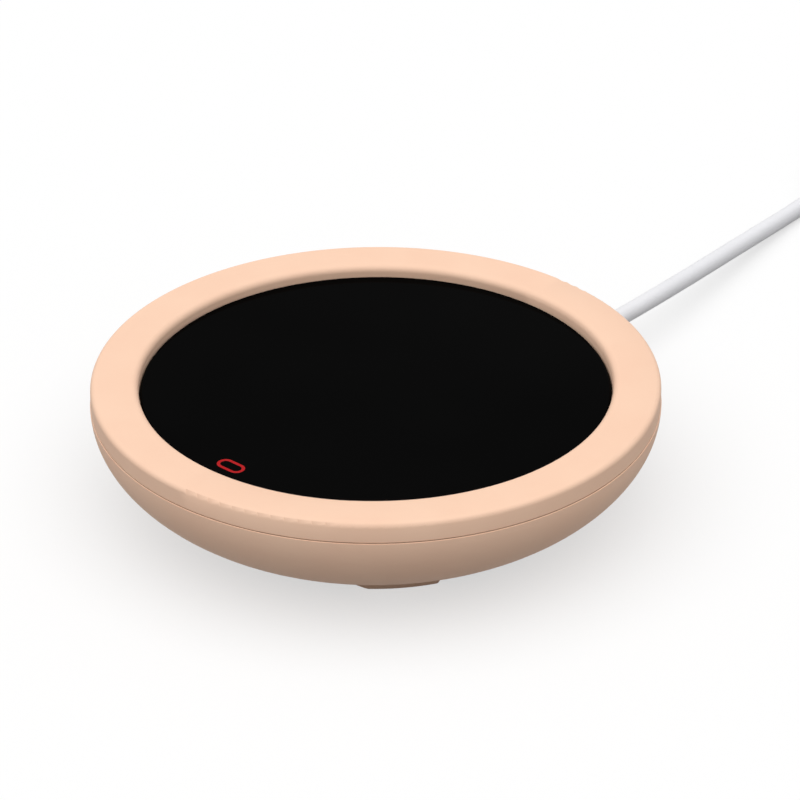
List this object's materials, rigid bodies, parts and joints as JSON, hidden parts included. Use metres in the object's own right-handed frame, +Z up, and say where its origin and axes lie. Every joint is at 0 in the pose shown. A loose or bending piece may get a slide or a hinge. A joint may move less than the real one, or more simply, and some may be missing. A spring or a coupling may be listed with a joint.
{
  "type": "electric mug warmer",
  "caption": "Round electric mug warmer: a recessed black glass hot plate in a ring on a shallow bowl with arc feet, a flush touch key and a coiled low-voltage lead.",
  "frame": {"origin": "on the table under the middle of the round body", "axes": "+Z up, out of the glass; -Y to the front, where the touch key is; +Y to the back, where the lead leaves"},
  "size_m": [0.1289, 0.28, 0.028],
  "materials": {
    "peach_shell": "fine matt moulded ABS, peach",
    "peach_foot": "matt silicone, peach like the shell",
    "black_glass": "polished tempered glass, black behind",
    "red_enamel": "flat red fired ink",
    "gasket": "black adhesive foam",
    "aluminium_sheet": "rolled sheet",
    "polyimide": "amber film",
    "felt": "needled fibre felt",
    "carrier_plastic": "black glass-filled moulding",
    "glass_bead": "sealed bead",
    "steel": "zinc-plated steel",
    "board_green": "solder resist",
    "component_black": "moulded epoxy",
    "can_aluminium": "drawn can",
    "white_plastic": "white nylon",
    "lamp_lens": "clear epoxy",
    "wire_red": "red insulation",
    "wire_black": "black insulation",
    "wire_white": "white insulation",
    "cord_white": "white satin elastomer jacket",
    "plug_steel": "nickel-plated steel",
    "contact_gold": "gilt contact"
  },
  "bodies": {
    "root": {"bezel_ring": "peach_shell", "lower_shell": "peach_shell", "glass_panel": "black_glass", "touch_mark": "red_enamel", "glass_gasket": "gasket", "heat_spreader": "aluminium_sheet", "heating_film": "polyimide", "insulation_pad": "felt", "heater_carrier": "carrier_plastic", "thermistor": "glass_bead", "thermal_fuse": "steel", "carrier_screws": "steel", "control_board": "board_green", "board_screws": "steel", "touch_spring": "plug_steel", "light_shroud": "white_plastic", "indicator_leds": "lamp_lens", "touch_chip": "component_black", "power_transistor": "component_black", "filter_capacitor": "can_aluminium", "board_connector": "white_plastic", "chip_resistors": "component_black", "supply_core_live": "wire_red", "supply_core_return": "wire_black", "heater_leads": "wire_white", "sensor_leads": "wire_black", "cord_clamp": "carrier_plastic", "clamp_screws": "steel", "housing_screws": "steel", "foot_right_front": "peach_foot", "foot_right_rear": "peach_foot", "foot_left_rear": "peach_foot", "foot_left_front": "peach_foot", "strain_relief": "cord_white", "jacket_end": "cord_white", "power_cord": "cord_white", "cord_coil": "cord_white", "cord_tail": "cord_white", "plug_body": "cord_white", "plug_shell": "plug_steel", "plug_tongue": "white_plastic", "plug_contacts": "contact_gold"}
  },
  "joints": []
}
